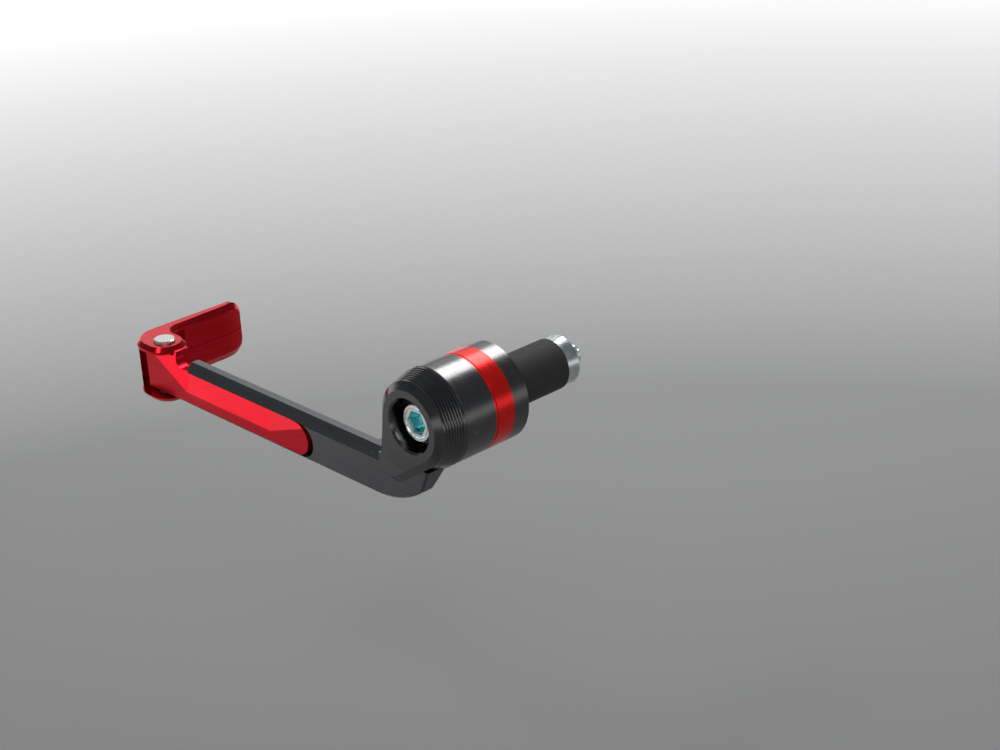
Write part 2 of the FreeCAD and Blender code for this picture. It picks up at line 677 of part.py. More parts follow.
pin = spunOnPin("pivot_pin",
                [("axis", "pin_end"), ("pin_radius", "pin_end"), ("pin_radius", "clip_bottom"),
                 ("clip_groove", "clip_bottom"), ("clip_groove", "clip_top"), ("pin_radius", "clip_top"),
                 ("pin_radius", "tip_top"), ("pin_head_radius", "tip_top"),
                 ("pin_head_radius", "pin_break_z"), ("pin_break_radius", "pin_head_top"),
                 ("axis", "pin_head_top")])
clip = spunOnPin("pin_clip", [("clip_groove", "clip_bottom"), ("clip_radius", "clip_bottom"),
                              ("clip_radius", "clip_top"), ("clip_groove", "clip_top")])
mouthSketch = outline(startSketch(clip, "clip_mouth", "XY_Plane", "dims.clip_bottom"),
                      [("mouth_left", "mouth_near"), ("mouth_right", "mouth_near"),
                       ("mouth_right", "mouth_far"), ("mouth_left", "mouth_far")])
pocket(clip, "clip_opening", mouthSketch, "dims.clip_thick", True)
shims = spunOnPin("thrust_washers", [("pin_bore", "tongue_top"), ("shim_radius", "tongue_top"),
                                     ("shim_radius", "shim_upper"), ("pin_bore", "shim_upper")])
lowShim = outline(startSketch(shims, "lower_shim_profile", "XZ_Plane"),
                  [("pin_bore", "shim_lower"), ("shim_radius", "shim_lower"),
                   ("shim_radius", "bar_bottom"), ("pin_bore", "bar_bottom")])
turned(shims, "lower_shim", lowShim, "V_Axis")

sleeve = spunOnBar("end_sleeve",
                   [("hub_back", "boss_bore"), ("hub_back", "sleeve_break"),
                    ("sleeve_back_break", "sleeve_radius"), ("sleeve_start", "sleeve_radius"),
                    ("sleeve_start", "spigot_radius"), ("spigot_end", "spigot_radius"),
                    ("spigot_end", "bolt_hole"), ("boss_pocket", "bolt_hole"), ("boss_pocket", "boss_bore")])
accent = spunOnBar("accent_ring",
                   [("sleeve_start", "spigot_bore"), ("sleeve_start", "sleeve_radius"),
                    ("ring_groove_start", "sleeve_radius"), ("ring_groove_start", "ring_groove_radius"),
                    ("ring_groove_end", "ring_groove_radius"), ("ring_groove_end", "sleeve_radius"),
                    ("ring_start", "sleeve_radius"), ("ring_start", "spigot_bore")])
collar = spunOnBar("inner_collar",
                   [("ring_start", "spigot_bore"), ("ring_start", "sleeve_radius"),
                    ("collar_break", "sleeve_radius"), ("axis", "sleeve_break"), ("axis", "nose_radius"),
                    ("nose_length", "nose_radius"), ("nose_length", "bolt_hole"),
                    ("spigot_floor", "bolt_hole"), ("spigot_floor", "spigot_bore")])
boltWasher = spunOnBar("bolt_washer", [("head_seat", "bolt_hole"), ("head_seat", "washer_radius"),
                                       ("bore_floor", "washer_radius"), ("bore_floor", "bolt_hole")])
expander = spunOnBar("expander_sleeve",
                     [("nose_length", "bolt_hole"), ("nose_length", "expander_radius"),
                      ("expander_end", "expander_radius"), ("expander_end", "mouth_radius"),
                      ("nut_start", "nut_small"), ("nut_start", "bolt_hole")])
nut = spunOnBar("expander_nut", [("nut_start", "nut_bore"), ("nut_start", "nut_small"),
                                 ("nut_end", "nut_large"), ("nut_end", "nut_bore")])
bolt = spunOnBar("bar_bolt",
                 [("head_face", "axis"), ("head_face", "head_break_radius"), ("head_break_x", "head_radius"),
                  ("head_seat", "head_radius"), ("head_seat", "shank_radius"),
                  ("bolt_end_break", "shank_radius"), ("bolt_end", "bolt_tip_radius"), ("bolt_end", "axis")])
hexSketch = startSketch(bolt, "hex_socket", "YZ_Plane", "dims.head_face")
outline(hexSketch, [("hex_across", "axis"), ("hex_half", "hex_flat"), ("hex_half_low", "hex_flat"),
                    ("hex_across_low", "axis"), ("hex_half_low", "hex_flat_low"),
                    ("hex_half", "hex_flat_low")])
pocket(bolt, "hex_recess", hexSketch, "dims.socket_depth", True)


# Two clamp screws and two washers, set inboard of the arm's back wall


def spunOnScrew(label, corners):
    body = startBody(label)
    body.setExpression("Placement.Base.y", "dims.screw_first_y")
    body.setExpression("Placement.Base.z", "dims.screw_z")
    sketch = outline(startSketch(body, label + "_profile", "XY_Plane"), corners)
    feature = turned(body, label + "_turned", sketch, "H_Axis")
    return body, feature


def inPair(body, label, features):
    pair = body.newObject("PartDesign::LinearPattern", label + "_pair")
    pair.Originals = features
    pair.Direction = ([f for f in body.Origin.OriginFeatures if f.Role == "Y_Axis"][0], [""])
    pair.setExpression("Length", "dims.screw_pitch")
    pair.Occurrences = 2
    body.Tip = pair
    doc.recompute()
    return pair


screws, screwTurned = spunOnScrew(
    "clamp_screws", [("screw_end", "axis"), ("screw_end", "screw_radius"), ("washer_face", "screw_radius"),
                     ("washer_face", "screw_head_radius"), ("screw_rim", "screw_head_radius"),
                     ("screw_top", "screw_crown"), ("screw_top", "screw_recess"),
                     ("screw_floor", "screw_recess"), ("screw_floor", "axis")])
inPair(screws, "clamp_screws", [screwTurned])
clampWashers, washerTurned = spunOnScrew(
    "clamp_washers", [("hub_back", "slot_half"), ("hub_back", "clamp_washer_radius"),
                      ("washer_face", "clamp_washer_radius"), ("washer_face", "slot_half")])
inPair(clampWashers, "clamp_washers", [washerTurned])

# Checks and export
doc.recompute()
faults = [o.Label for o in doc.Objects if "Invalid" in o.State or "Error" in o.State or "Touched" in o.State]
if faults:
    raise RuntimeError("features not built: " + ", ".join(faults))
pieces = [arm, slider, tip, pin, clip, shims, sleeve, accent, collar]
pieces += [boltWasher, expander, nut, bolt, screws, clampWashers]
for piece in pieces:
    if piece.Shape.isNull() or not piece.Shape.isValid():
        raise RuntimeError("bad shape: " + piece.Label)
    piece.Shape.exportStep("parts/" + piece.Label + ".step")
    box = piece.Shape.BoundBox
    print(piece.Label, len(piece.Shape.Solids), round(piece.Shape.Volume),
          [round(v, 1) for v in (box.XMin, box.XMax, box.YMin, box.YMax, box.ZMin, box.ZMax)])
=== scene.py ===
import math

import bmesh
import bpy
import numpy as np
from mathutils import Matrix, Vector


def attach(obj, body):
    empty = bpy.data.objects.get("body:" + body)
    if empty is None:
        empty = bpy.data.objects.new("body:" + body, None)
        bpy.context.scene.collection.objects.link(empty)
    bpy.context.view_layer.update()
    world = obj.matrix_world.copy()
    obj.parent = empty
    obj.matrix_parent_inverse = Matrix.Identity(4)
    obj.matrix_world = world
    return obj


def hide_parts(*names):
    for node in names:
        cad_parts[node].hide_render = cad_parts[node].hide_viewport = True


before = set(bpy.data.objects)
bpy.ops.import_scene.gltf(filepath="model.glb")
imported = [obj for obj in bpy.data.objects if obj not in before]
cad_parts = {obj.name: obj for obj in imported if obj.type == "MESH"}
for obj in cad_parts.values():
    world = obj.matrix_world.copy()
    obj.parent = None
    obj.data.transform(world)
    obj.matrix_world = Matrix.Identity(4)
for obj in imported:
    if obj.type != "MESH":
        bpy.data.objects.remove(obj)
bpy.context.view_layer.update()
print("stage: frame loaded")


class Sock:
    # A shader socket with arithmetic, so that a material reads as a formula.
    def __init__(self, tree, socket=None):
        self.tree = tree
        self.socket = socket

    def node(self, kind, inputs=(), out=0, **settings):
        made = self.tree.nodes.new(kind)
        for key, value in settings.items():
            setattr(made, key, value)
        for key, value in dict(inputs).items():
            if isinstance(value, Sock):
                self.tree.links.new(value.socket, made.inputs[key])
            else:
                made.inputs[key].default_value = value
        return Sock(self.tree, made.outputs[out])

    def maths(self, operation, *values):
        return self.node("ShaderNodeMath", enumerate((self,) + values), operation=operation)

    def __add__(self, other):
        return self.maths("ADD", other)

    def __sub__(self, other):
        return self.maths("SUBTRACT", other)

    def __rsub__(self, other):
        return self.maths("MULTIPLY", -1.0) + other

    def __mul__(self, other):
        return self.maths("MULTIPLY", other)

    __radd__ = __add__
    __rmul__ = __mul__

    def reach(self, other):
        # distance from the line where both are nought
        return (self * self + other * other).maths("SQRT")

    def wave(self):
        return self.maths("SINE") * 0.5 + 0.5

    def noise(self, scale, detail=3.0, rough=0.55):
        return self.node("ShaderNodeTexNoise", {"Vector": self, "Scale": scale, "Detail": detail,
                                                "Roughness": rough})

    def between(self, low, high, toLow, toHigh):
        return self.node("ShaderNodeMapRange", {"Value": self, "From Min": low, "From Max": high,
                                                "To Min": toLow, "To Max": toHigh})

    def stretched(self, across, along, up):
        return self.node("ShaderNodeMapping", {"Vector": self, "Scale": (across, along, up)})

    def part(self, number):
        return self.node("ShaderNodeSeparateXYZ", {"Vector": self}, number)

    def mixed(self, first, second):
        # a colour is given as three numbers or as another socket
        ends = [end if isinstance(end, Sock) else end + (1.0,) for end in (first, second)]
        return self.node("ShaderNodeMix", {0: self, 6: ends[0], 7: ends[1]}, 2, data_type="RGBA")

    def seen(self):
        # 1 for the camera and for what metal or glass shows, 0 for light on the object
        kinds = ("Is Camera Ray", "Is Glossy Ray", "Is Transmission Ray")
        camera, glossy, through = [self.node("ShaderNodeLightPath", out=kind) for kind in kinds]
        return camera.maths("MAXIMUM", glossy).maths("MAXIMUM", through)

    def bumped(self, strength, distance):
        return self.node("ShaderNodeBump", {"Height": self, "Strength": strength, "Distance": distance})


def newMaterial(name, **constants):
    material = bpy.data.materials.new(name)
    material.use_nodes = True
    shader = material.node_tree.nodes["Principled BSDF"]
    for key, value in constants.items():
        shader.inputs[key.replace("_", " ")].default_value = value
    place = Sock(material.node_tree).node("ShaderNodeTexCoord", out="Object")
    return material, shader, place


def feed(shader, **links):
    for key, value in links.items():
        value.tree.links.new(value.socket, shader.inputs[key.replace("_", " ")])


dustSet = {"scale": 1100.0, "peak": (0.8, 0.84), "colour": (0.3, 0.3, 0.3)}


def dusted(place, colour, amount):
    # sparse specks of pale dust, where a fine noise peaks
    specks = place.noise(dustSet["scale"], 0.0).between(*dustSet["peak"], 0.0, amount)
    return specks.mixed(colour, dustSet["colour"])


# hub mask, the darker colour painted on its turned faces as painted shade for their dark reflections, and
# how much glossier they are
hubGlossAndShadeSet = {"face": -0.03715, "behind": (0.0001, 0.0003), "radius": (0.0168, 0.0178),
          "colour": (0.003, 0.0032, 0.004), "smoother": 0.12}


def hubGlossAndPaintedShade(place):
    # the hub's bevel, cone and bore are turned and glossier than its flat face and the bar, and their colour
    # is painted darker: painted shade standing in for their dark reflections
    radius = place.part(1).reach(place.part(2))
    behind = (place.part(0) - hubGlossAndShadeSet["face"]).between(*hubGlossAndShadeSet["behind"], 0.0, 1.0)
    return radius.between(*hubGlossAndShadeSet["radius"], 1.0, 0.0) * behind


milledSet = {"cloud": 70.0, "fine": 2600.0, "spread": (0.3, 0.7), "bump": (0.12, 0.00012)}


def milledMetal(name, dark, light, grain, rough, dust, glossAndShade=None, **constants):
    # Anodised billet: cutter lines drawn out along the bar, faint cloud in the dye, light wear in the gloss.
    material, shader, place = newMaterial(name, **constants)
    lines = place.stretched(*grain).noise(1.0, 2.0)
    cloud = place.noise(milledSet["cloud"])
    fine = place.noise(milledSet["fine"], 2.0)
    colour = (lines * 0.6 + cloud * 0.4).between(*milledSet["spread"], 0.0, 1.0).mixed(dark, light)
    gloss = (lines * 0.6 + fine * 0.4).between(*milledSet["spread"], *rough)
    # where given, the turned faces get less roughness and a darker painted colour: painted shade for their
    # dark reflections
    if glossAndShade:
        turnedShade = glossAndShade(place)
        colour = turnedShade.mixed(colour, hubGlossAndShadeSet["colour"])
        gloss = gloss - turnedShade * hubGlossAndShadeSet["smoother"]
    feed(shader, Base_Color=dusted(place, colour, dust), Roughness=gloss,
         Normal=(lines * 0.8 + fine * 0.2).bumped(*milledSet["bump"]))
    return material


turnedSet = {"wobble": (900.0, 30.0, 30.0), "waver": 2.5, "cloud": 90.0, "spread": (0.2, 0.8),
             "bump": (0.08, 0.00006)}


def turnedMetal(name, dark, light, rough, pitch, dust, **constants):
    # Turned part: fine rings that repeat along the bar axis, broken a little by noise.
    material, shader, place = newMaterial(name, **constants)
    wobble = place.stretched(*turnedSet["wobble"]).noise(1.0, 2.0)
    rings = (place.part(0) * (2 * math.pi / pitch) + wobble * turnedSet["waver"]).wave()
    cloud = place.noise(turnedSet["cloud"])
    worn = rings * 0.5 + wobble * 0.5
    colour = (rings * 0.4 + cloud * 0.6).mixed(dark, light)
    feed(shader, Base_Color=dusted(place, colour, dust),
         Roughness=worn.between(*turnedSet["spread"], *rough),
         Normal=worn.bumped(*turnedSet["bump"]))
    return material


boltSet = {"face": -0.0322, "socket": (0.0042, 0.0043), "sunk": (0.0001, 0.0003), "head": (0.008, 0.0081),
           "tint": (0.34, 0.74, 0.76)}


def socketMask(place):
    # 1 in the bolt head's socket, from just under its face
    radius = place.part(1).reach(place.part(2))
    deep = place.part(0) - boltSet["face"]
    inside = radius.between(*boltSet["socket"], 1.0, 0.0)
    return inside * deep.between(*boltSet["sunk"], 0.0, 1.0) * deep.between(*boltSet["head"], 1.0, 0.0)


platedSet = {"fine": 3500.0, "cloudSpread": (0.35, 0.65), "spread": (0.3, 0.7), "bump": 0.08}


def platedMetal(name, dark, light, rough, cloudScale, tooth, socket=None, **constants):
    # Plate: soft cloud in the colour and a fine tooth in the surface, with a tint where there is a socket.
    material, shader, place = newMaterial(name, **constants)
    cloud = place.noise(cloudScale, 4.0)
    fine = place.noise(platedSet["fine"], 2.0)
    colour = cloud.between(*platedSet["cloudSpread"], 0.0, 1.0).mixed(dark, light)
    if socket:
        colour = socket(place).mixed(colour, boltSet["tint"])
    feed(shader, Base_Color=colour,
         Roughness=(cloud * 0.5 + fine * 0.5).between(*platedSet["spread"], *rough),
         Normal=fine.bumped(platedSet["bump"], tooth))
    return material


pinSet = {"x": -0.02975, "y": 0.1361, "pitch": 0.00042, "wobble": 700.0, "waver": 0.4, "spread": (0.2, 0.8),
          "bump": (0.15, 0.00002)}


def spunMetal(name, dark, light, rough):
    # Faced end of a pin: rings about the pin's own axis.
    material, shader, place = newMaterial(name, Metallic=1.0)
    radius = (place.part(0) - pinSet["x"]).reach(place.part(1) - pinSet["y"])
    wobble = place.noise(pinSet["wobble"], 2.0)
    rings = (radius * (2 * math.pi / pinSet["pitch"]) + wobble * pinSet["waver"]).wave()
    feed(shader, Base_Color=(rings * 0.7 + wobble * 0.3).mixed(dark, light),
         Roughness=(rings * 0.8 + wobble * 0.2).between(*pinSet["spread"], *rough),
         Normal=rings.bumped(*pinSet["bump"]))
    return material


mattSet = {"spread": (0.3, 0.7), "bump": (0.2, 0.0001)}


def mattStuff(name, dark, light, rough, scale):
    # Rubber or nylon: one grain in the colour, the gloss and the surface.
    material, shader, place = newMaterial(name, Metallic=0.0)
    grain = place.noise(scale, 4.0)
    feed(shader, Base_Color=grain.between(*mattSet["spread"], 0.0, 1.0).mixed(dark, light),
         Roughness=grain.between(*mattSet["spread"], *rough),
         Normal=grain.bumped(*mattSet["bump"]))
    return material


looks = {
    "guard_arm": milledMetal(
        "black_anodised", dark=(0.01, 0.0116, 0.0155), light=(0.019, 0.021, 0.0265),
        grain=(900.0, 14.0, 900.0), rough=(0.24, 0.36), dust=0.25, glossAndShade=hubGlossAndPaintedShade, Metallic=0.1, IOR=2.0),
    "extension_slider": milledMetal(
        "red_anodised", dark=(0.6, 0.005, 0.016), light=(0.74, 0.01, 0.026),
        grain=(900.0, 14.0, 900.0), rough=(0.24, 0.38), dust=0.1, Metallic=0.8, Specular_IOR_Level=0.1),
    "folding_tip": milledMetal(
        "red_anodised_tip", dark=(0.62, 0.01, 0.018), light=(0.76, 0.018, 0.03),
        grain=(14.0, 900.0, 900.0), rough=(0.14, 0.26), dust=0.1, Metallic=1.0),
    "end_sleeve": turnedMetal(
        "black_turned", dark=(0.004, 0.004, 0.005), light=(0.009, 0.009, 0.011),
        rough=(0.2, 0.32), pitch=0.00018, dust=0.25, Metallic=0.1, IOR=2.0),
    "accent_ring": turnedMetal(
        "red_turned", dark=(0.86, 0.012, 0.012), light=(0.94, 0.022, 0.018),
        rough=(0.18, 0.3), pitch=0.00018, dust=0.1, Metallic=0.65, Specular_IOR_Level=0.25),
    "bar_bolt": platedMetal(
        "zinc_plate", dark=(0.78, 0.84, 0.84), light=(0.94, 0.96, 0.95),
        rough=(0.14, 0.28), cloudScale=260.0, tooth=0.0003, socket=socketMask, Metallic=1.0),
    "bolt_washer": platedMetal(
        "washer_plate", dark=(0.56, 0.62, 0.64), light=(0.74, 0.78, 0.78),
        rough=(0.2, 0.34), cloudScale=260.0, tooth=0.00005, Metallic=1.0),
    "pivot_pin": spunMetal(
        "bright_steel", dark=(0.7, 0.68, 0.63), light=(0.82, 0.8, 0.76), rough=(0.24, 0.36)),
    "clamp_screws": platedMetal(
        "black_steel", dark=(0.02, 0.02, 0.022), light=(0.05, 0.05, 0.05),
        rough=(0.35, 0.5), cloudScale=400.0, tooth=0.00005, Metallic=0.7),
    "expander_sleeve": mattStuff(
        "rubber", dark=(0.016, 0.016, 0.016), light=(0.028, 0.027, 0.026), rough=(0.65, 0.85), scale=900.0),
    "thrust_washers": mattStuff(
        "nylon", dark=(0.014, 0.014, 0.014), light=(0.022, 0.022, 0.022), rough=(0.5, 0.65), scale=1500.0),
}
sameLook = {"inner_collar": "end_sleeve", "expander_nut": "bolt_washer",
            "clamp_washers": "bolt_washer", "pin_clip": "clamp_screws"}
for name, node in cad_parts.items():
    node.data.materials.clear()
    node.data.materials.append(looks[sameLook.get(name, name)])
print("stage: materials on", len(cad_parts), "nodes")

# distances in metres and angles in degrees at which a copied mesh is merged, cleaned and smoothed
meshSet = {"weld": 1e-7, "sliver": 2e-6, "flat": 0.5, "sharp": 22.0}


def linkedObject(name, data):
    made = bpy.data.objects.new(name, data)
    bpy.context.scene.collection.objects.link(made)
    return made


def joinedCopy(node):
    # a CAD node's triangles with their shared points merged
    form = bmesh.new()
    form.from_mesh(node.data)
    bmesh.ops.remove_doubles(form, verts=form.verts, dist=meshSet["weld"])
    return form


def closedMesh(name, points, faces):
    mesh = bpy.data.meshes.new(name)
    mesh.from_pydata(points, [], faces)
    form = bmesh.new()
    form.from_mesh(mesh)
    bmesh.ops.recalc_face_normals(form, faces=form.faces)
    form.to_mesh(mesh)
    form.free()
    return mesh


def cutMesh(name, form, points, faces):
    # the form less the closed surface of the points and faces, as a new mesh
    wholeMesh = bpy.data.meshes.new("whole")
    form.to_mesh(wholeMesh)
    form.free()
    whole = linkedObject("whole", wholeMesh)
    cutter = linkedObject("cutter", closedMesh("cutter", points, faces))
    cut = whole.modifiers.new("cut", "BOOLEAN")
    cut.operation = "DIFFERENCE"
    cut.solver = "EXACT"
    cut.object = cutter
    bpy.context.view_layer.update()
    evaluated = whole.evaluated_get(bpy.context.evaluated_depsgraph_get())
    made = bpy.data.meshes.new_from_object(evaluated)
    made.name = name
    bpy.data.objects.remove(whole)
    bpy.data.objects.remove(cutter)
    return made


def finishedPiece(name, mesh, nodeName, body):
    form = bmesh.new()
    form.from_mesh(mesh)
    bmesh.ops.dissolve_degenerate(form, dist=meshSet["sliver"], edges=form.edges)
    flat = math.radians(meshSet["flat"])
    bmesh.ops.dissolve_limit(form, angle_limit=flat, verts=form.verts, edges=form.edges)
    form.to_mesh(mesh)
    form.free()
    if "custom_normal" in mesh.attributes:  # the copy's normals no longer fit
        mesh.attributes.remove(mesh.attributes["custom_normal"])
    mesh.materials.clear()
    mesh.materials.append(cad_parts[nodeName].data.materials[0])
    mesh.shade_smooth()
    mesh.set_sharp_from_angle(angle=math.radians(meshSet["sharp"]))
    piece = linkedObject(name, mesh)
    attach(piece, body)
    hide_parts(nodeName)
    print("stage:", name, len(mesh.polygons), "faces")


# Blade: rear face line in plan, its rim seen from behind, and the bevel's height and depth along that rim.
# The section gives the cutter's corners as shares of that height inward and of that depth forward.
bladeSet = {"rearY": 0.1441, "rootX": -0.02235, "bendX": 0.0, "bendY": 0.1446, "curve": 0.0277,
            "kneeX": 0.0095, "startX": -0.016, "fullX": -0.007, "endX": 0.0115, "round": 0.0055,
            "low": -0.0322, "top": -0.0116, "small": (0.0013, 0.0013), "lowBevel": (0.0027, 0.0019),
            "endBevel": (0.0011, 0.0009), "topBevel": (0.0021, 0.0016),
            "section": ((1.3, -0.3), (-0.3, 1.3), (-0.3, -0.3)),
            "runSteps": 40, "bendSteps": 14, "postSteps": 8}


def bladeRear(x):
    # straight to the bend, then an arc that turns forward, then its tangent past the knee
    centre = bladeSet["bendY"] + bladeSet["curve"]
    reach = np.clip(x - bladeSet["bendX"], 0.0, bladeSet["kneeX"])
    rise = np.sqrt(bladeSet["curve"] ** 2 - reach ** 2)
    slope = (bladeSet["bendY"] - bladeSet["rearY"]) / (bladeSet["bendX"] - bladeSet["rootX"])
    straight = np.minimum(x - bladeSet["bendX"], 0.0) * slope
    return centre - rise + straight + np.maximum(x - bladeSet["kneeX"], 0.0) * reach / rise


def sweptFaces(count):
    # sides and two ends of a triangle carried through a row of places
    first = np.arange(count - 1)[:, None] * 3
    side = np.arange(3)[None, :]
    beside = (side + 1) % 3
    quads = np.stack([first + side, first + beside, first + 3 + beside, first + 3 + side], axis=2)
    last = count * 3 - 3
    return quads.reshape(-1, 4).tolist() + [[2, 1, 0], [last, last + 1, last + 2]]


def bevelCutter():
    # A triangle carried round the blade's rim: along the bottom, round the end's two corners, back along
    # the top. Its long side lies on the bevel, and its other two stand clear outside.
    low, top, corner = bladeSet["low"], bladeSet["top"], bladeSet["round"]
    startX, endX = bladeSet["startX"], bladeSet["endX"]
    turnX = endX - corner
    run = np.linspace(startX, turnX, bladeSet["runSteps"])
    bend = np.radians(np.linspace(-90.0, 0.0, bladeSet["bendSteps"]))[1:]
    post = np.linspace(low + corner, top - corner, bladeSet["postSteps"])[1:-1]
    bendX = turnX + corner * np.cos(bend)
    rise = corner + corner * np.sin(bend)
    x = np.concatenate([run, bendX, np.full(post.size, endX), bendX[::-1], [turnX], run[::-1][1:]])
    z = np.concatenate([np.full(run.size, low), low + rise, post, top - rise[::-1], np.full(run.size, top)])
    inX = -np.clip((x - turnX) / corner, 0.0, 1.0)
    underZ = np.clip((low + corner - z) / corner, 0.0, 1.0)
    overZ = np.clip((z - top + corner) / corner, 0.0, 1.0)
    size = np.outer(underZ ** 2, bladeSet["lowBevel"]) + np.outer(overZ ** 2, bladeSet["topBevel"])
    size = size + np.outer(inX ** 2, bladeSet["endBevel"])
    grown = np.clip((x - startX) / (bladeSet["fullX"] - startX), 0.0, 1.0)[:, None]
    size = size * grown + np.array(bladeSet["small"]) * (1.0 - grown)
    corners = []
    for inward, forward in bladeSet["section"]:
        cornerX = x + inX * inward * size[:, 0]
        cornerZ = z + (underZ - overZ) * inward * size[:, 0]
        corners.append(np.stack([cornerX, bladeRear(cornerX) + forward * size[:, 1], cornerZ], axis=1))
    return np.stack(corners, axis=1).reshape(-1, 3).tolist(), sweptFaces(x.size)


scribeSet = {"height": -0.0222, "half": 0.00022, "deep": 0.0002, "clear": 0.0002,
             "startX": -0.0145, "endX": 0.0125, "steps": 60}


def scribeCutter():
    # the fine line along the middle of the blade's rear face: a V carried along that face
    x = np.linspace(scribeSet["startX"], scribeSet["endX"], scribeSet["steps"])
    rear = bladeRear(x)
    deep, clear = scribeSet["deep"], scribeSet["clear"]
    flare = scribeSet["half"] * (1.0 + clear / deep)
    corners = []
    for aside, forward in ((-flare, -clear), (flare, -clear), (0.0, deep)):
        corners.append(np.stack([x, rear + forward, np.full(x.size, scribeSet["height"] + aside)], axis=1))
    return np.stack(corners, axis=1).reshape(-1, 3).tolist(), sweptFaces(x.size)


def bevelledTip():
    name = "folding_tip_bevelled"
    bevelled = cutMesh(name, joinedCopy(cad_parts["folding_tip"]), *bevelCutter())
    form = bmesh.new()
    form.from_mesh(bevelled)
    finishedPiece(name, cutMesh(name, form, *scribeCutter()), "folding_tip", "tip")


bevelledTip()

threadSet = {"cut": 0.0299, "start": 0.0297, "end": 0.0358, "pitch": 0.00125, "major": 0.004,
             "minor": 0.00335, "lead": 0.0009, "steep": 1.4, "flat": 0.2, "around": 48, "along": 74}


def boltThread():
    # Radius over turn and length: a flattened triangle wave that advances one pitch a turn,
    # brought down at the end. A fan closes each end.
    around, major, end = threadSet["around"], threadSet["major"], threadSet["end"]
    length = np.linspace(threadSet["start"], end, threadSet["along"])[:, None]
    turn = np.linspace(0.0, 2 * np.pi, around, endpoint=False)[None, :]
    phase = length / threadSet["pitch"] - turn / (2 * np.pi)
    triangle = np.abs(2.0 * (phase - np.floor(phase)) - 1.0)
    wave = np.clip(triangle * threadSet["steep"] - threadSet["flat"], 0.0, 1.0)
    radius = threadSet["minor"] + (major - threadSet["minor"]) * wave
    radius = np.minimum(radius, major - np.maximum(length - end + threadSet["lead"], 0.0))
    along = np.broadcast_to(length, radius.shape)
    grid = np.stack([along, radius * np.cos(turn), radius * np.sin(turn)], axis=2).reshape(-1, 3)
    points = np.concatenate([grid, [[threadSet["start"], 0.0, 0.0], [end, 0.0, 0.0]]])
    row = np.arange(threadSet["along"] - 1)[:, None] * around
    step = np.arange(around)
    after = (step + 1) % around
    quads = np.stack([row + step, row + after, row + around + after, row + around + step], axis=2)
    top = len(grid) - around
    back = np.stack([np.full(around, len(grid)), after, step], axis=1)
    front = np.stack([np.full(around, len(grid) + 1), top + step, top + after], axis=1)
    return points.tolist(), quads.reshape(-1, 4).tolist() + back.tolist() + front.tolist()


# Mouth: corner radius at the face, corner radius inside, depth. Groove: inner radius, outer radius, depth.
headSet = {"clear": 0.0003, "core": 0.0001, "mouth": (0.0042, 0.0034, 0.0007), "sides": 6,
           "groove": (0.0047, 0.0051, 0.0003), "around": 72}


def turnedRing(section, count):
    # closed ring with the section (x, r) carried round the x axis: (x, r cos a, r sin a), a = 2 pi i / count
    size = len(section)
    angle = np.arange(count)[:, None] * 2 * np.pi / count
    along = np.broadcast_to(section[:, 0], (count, size))
    radius = section[:, 1]
    points = np.stack([along, radius * np.cos(angle), radius * np.sin(angle)], axis=2).reshape(-1, 3)
    here = np.arange(count)[:, None] * size
    after = (here + size) % (count * size)
    side = np.arange(size)[None, :]
    beside = (side + 1) % size
    faces = np.stack([here + side, here + beside, after + beside, after + side], axis=2).reshape(-1, 4)
    return points, faces


def headCutter():
    # six-sided flare for the socket's mouth and a round groove about it
    face, clear, core = boltSet["face"], headSet["clear"], headSet["core"]
    start = face - clear
    wide, narrow, sunk = headSet["mouth"]
    flare = wide + (wide - narrow) * clear / sunk
    mouth = np.array([(start, core), (start, flare), (face + sunk, narrow), (face + sunk, core)])
    inner, outer, deep = headSet["groove"]
    spread = (outer - inner) / 2 * clear / deep
    groove = np.array([(start, inner - spread), (start, outer + spread), (face + deep, (inner + outer) / 2)])
    points, faces = turnedRing(mouth, headSet["sides"])
    groovePoints, grooveFaces = turnedRing(groove, headSet["around"])
    allFaces = np.concatenate([faces, grooveFaces + len(points)])
    return np.concatenate([points, groovePoints]).tolist(), allFaces.tolist()


def threadedBolt():
    # the bolt cut short behind its thread, with its socket flared, and the thread set on
    name = "bar_bolt_threaded"
    form = joinedCopy(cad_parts["bar_bolt"])
    everything = form.verts[:] + form.edges[:] + form.faces[:]
    cutAt = (threadSet["cut"], 0.0, 0.0)
    bmesh.ops.bisect_plane(form, geom=everything, plane_co=cutAt, plane_no=(1.0, 0.0, 0.0), clear_outer=True)
    bmesh.ops.holes_fill(form, edges=[edge for edge in form.edges if edge.is_boundary])
    mesh = cutMesh(name, form, *headCutter())
    form = bmesh.new()
    form.from_mesh(mesh)
    form.from_mesh(closedMesh("thread", *boltThread()))
    bmesh.ops.recalc_face_normals(form, faces=form.faces)
    form.to_mesh(mesh)
    form.free()
    finishedPiece(name, mesh, "bar_bolt", "arm")


threadedBolt()


def backed(fade, front, back, output):
    # the front shader with the back one mixed in by the fade, as what the tree shows
    both = fade.node("ShaderNodeMixShader", {0: fade, 1: Sock(fade.tree, front.outputs[0]), 2: back})
    fade.tree.links.new(both.socket, fade.tree.nodes[output].inputs["Surface"])


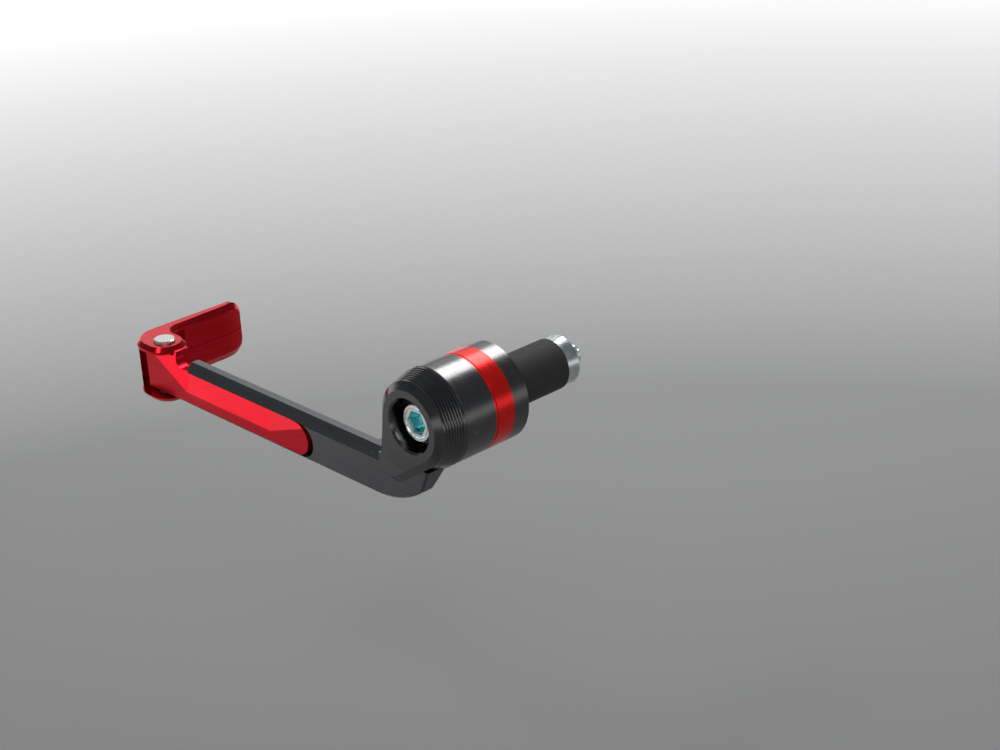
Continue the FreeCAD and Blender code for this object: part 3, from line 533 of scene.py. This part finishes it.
# Plain pale floor, painted darker near the viewer and paler with distance from it: painted shade.
floorSet = {"drop": -0.16, "half": 6.0, "towards": (0.5666, 0.824), "away": (0.0, 1.1), "paintedShadeTone": (0.3, 0.47),
            "centre": (-0.113, -0.165), "white": (0.55, 1.35),
            "left": (-0.734, 0.679), "leftPale": (0.25, 0.36), "leftShare": 0.35}
half, drop = floorSet["half"], floorSet["drop"]
floorMesh = bpy.data.meshes.new("floor")
floorCorners = [(-half, -half, drop), (half, -half, drop), (half, half, drop), (-half, half, drop)]
floorMesh.from_pydata(floorCorners, [], [(0, 1, 2, 3)])
floor = linkedObject("floor", floorMesh)
floorLook, floorShader, floorPlace = newMaterial("floor_paper", Roughness=0.9)
floorX, floorY = floorPlace.part(0), floorPlace.part(1)
away = floorX * floorSet["towards"][0] + floorY * floorSet["towards"][1]
# painted shade: the floor's colour runs from darker near the viewer to paler away from it
feed(floorShader, Base_Color=away.between(*floorSet["away"], *floorSet["paintedShadeTone"]))
# far off and to the left it fades towards a white backdrop, for the camera and for reflections
outward = (floorX - floorSet["centre"][0]).reach(floorY - floorSet["centre"][1])
leftward = floorX * floorSet["left"][0] + floorY * floorSet["left"][1]
leftFade = leftward.between(*floorSet["leftPale"], 0.0, floorSet["leftShare"])
fade = outward.between(*floorSet["white"], 0.0, 1.0).maths("MAXIMUM", leftFade) * floorPlace.seen()
backed(fade, floorShader, fade.node("ShaderNodeEmission"), "Material Output")
floorMesh.materials.append(floorLook)

# Camera fitted to the photograph: place in metres, angles in degrees, focal length and width in pixels.
cameraSet = {"place": (-0.3806, -0.4147, 0.2579), "azimuth": 42.77, "down": 24.22, "roll": 2.885,
             "focal": 1994.2, "width": 1000.0, "sensor": 36.0, "nearest": 0.01}
lens = bpy.data.cameras.new("view")
lens.sensor_width = cameraSet["sensor"]
lens.lens = cameraSet["focal"] / cameraSet["width"] * cameraSet["sensor"]
lens.clip_start = cameraSet["nearest"]
camera = linkedObject("view", lens)
turn = math.radians(cameraSet["azimuth"])
dip = math.radians(cameraSet["down"])
look = Vector((math.sin(turn) * math.cos(dip), math.cos(turn) * math.cos(dip), -math.sin(dip)))
upright = look.to_track_quat("-Z", "Y").to_matrix()
rolled = upright @ Matrix.Rotation(math.radians(-cameraSet["roll"]), 3, "Z")
camera.matrix_world = Matrix.Translation(cameraSet["place"]) @ rolled.to_4x4()
bpy.context.scene.camera = camera

# direction from the part, distance, width, height and power of each soft lamp
lamps = {
    "key": ((0.6, 0.27, 0.75), 1.1, 0.5, 0.42, 7.0),
    "horizon": ((-0.66, 0.75, 0.03), 1.2, 1.1, 0.4, 2.0),
    "back": ((0.515, 0.749, 0.45), 1.3, 0.9, 0.5, 1.15),
    "fill": ((-0.55, -0.75, 0.75), 1.4, 0.7, 0.6, 4.2),
    "top": ((-0.54, 0.1, 0.83), 1.2, 0.24, 0.24, 1.0),
}
lampAim = Vector((-0.02, 0.06, -0.01))


def addSoftbox(name, direction, distance, width, height, power):
    lamp = bpy.data.lights.new(name, "AREA")
    lamp.shape = "RECTANGLE"
    lamp.size = width
    lamp.size_y = height
    lamp.energy = power
    holder = linkedObject(name, lamp)
    holder.visible_camera = False
    place = lampAim + Vector(direction).normalized() * distance
    facing = (lampAim - place).to_track_quat("-Z", "Y").to_matrix()
    holder.matrix_world = Matrix.Translation(place) @ facing.to_4x4()


for name, settings in lamps.items():
    addSoftbox(name, *settings)

worldSet = {"colour": (0.73, 0.765, 0.81, 1.0), "strength": 0.2, "band": (0.04, 0.16),
            "white": {"Color": (1.0, 1.0, 1.0, 1.0), "Strength": 1.0}}
world = bpy.data.worlds.new("studio")
world.use_nodes = True
bpy.context.scene.world = world
sky = world.node_tree.nodes["Background"]
sky.inputs["Color"].default_value = worldSet["colour"]
sky.inputs["Strength"].default_value = worldSet["strength"]
# the white backdrop goes on a little way above the floor's far edge
heading = Sock(world.node_tree).node("ShaderNodeTexCoord", out="Generated")
band = heading.part(2).between(*worldSet["band"], 1.0, 0.0) * heading.seen()
backed(band, sky, band.node("ShaderNodeBackground", worldSet["white"]), "World Output")
bpy.context.scene.view_settings.view_transform = "Standard"
print("stage: floor, camera and lights")
